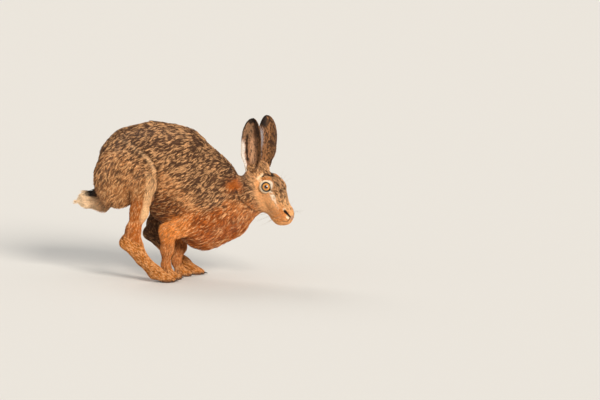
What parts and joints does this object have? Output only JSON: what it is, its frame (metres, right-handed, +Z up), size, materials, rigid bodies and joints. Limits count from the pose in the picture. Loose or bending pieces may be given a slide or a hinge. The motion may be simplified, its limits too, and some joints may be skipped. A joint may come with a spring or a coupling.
{
  "type": "brown hare",
  "caption": "Life-size brown hare in full run: arched back, head low, ears upright, hind feet swung forward outside the forelegs.",
  "frame": {"origin": "on the floor, under the middle of the bounding box", "axes": "+X the way the hare runs, +Y its left side, +Z up"},
  "size_m": [0.4372, 0.1606, 0.3281],
  "materials": {
    "back_coat": "dense mottled fur",
    "leg_coat": "short warm brown fur",
    "neck_coat": "rufous fur",
    "head_coat": "short mottled fur",
    "tail_coat": "long soft fur, white with a black top",
    "foot_coat": "short felted fur",
    "ear": "thin ear with short fur, black at the tip",
    "eye": "wet amber eye with a round black pupil",
    "claw": "dark horn"
  },
  "bodies": {
    "root": {"eye_right": "eye", "ear_right": "ear", "hind_foot_right_claw_1": "claw", "hind_foot_right_claw_2": "claw", "hind_foot_right_claw_3": "claw", "hind_foot_right_claw_4": "claw", "fore_paw_right_claw_1": "claw", "fore_paw_right_claw_2": "claw", "fore_paw_right_claw_3": "claw", "fore_paw_right_claw_4": "claw", "eye_left": "eye", "ear_left": "ear", "hind_foot_left_claw_1": "claw", "hind_foot_left_claw_2": "claw", "hind_foot_left_claw_3": "claw", "hind_foot_left_claw_4": "claw", "fore_paw_left_claw_1": "claw", "fore_paw_left_claw_2": "claw", "fore_paw_left_claw_3": "claw", "fore_paw_left_claw_4": "claw", "head": "head_coat", "neck": "neck_coat", "tail": "tail_coat", "hind_foot_right": "foot_coat", "thigh_right": "leg_coat", "shank_right": "leg_coat", "fore_paw_right": "foot_coat", "forearm_right": "leg_coat", "hind_foot_left": "foot_coat", "thigh_left": "leg_coat", "shank_left": "leg_coat", "fore_paw_left": "foot_coat", "forearm_left": "leg_coat", "trunk": "back_coat"}
  },
  "joints": []
}
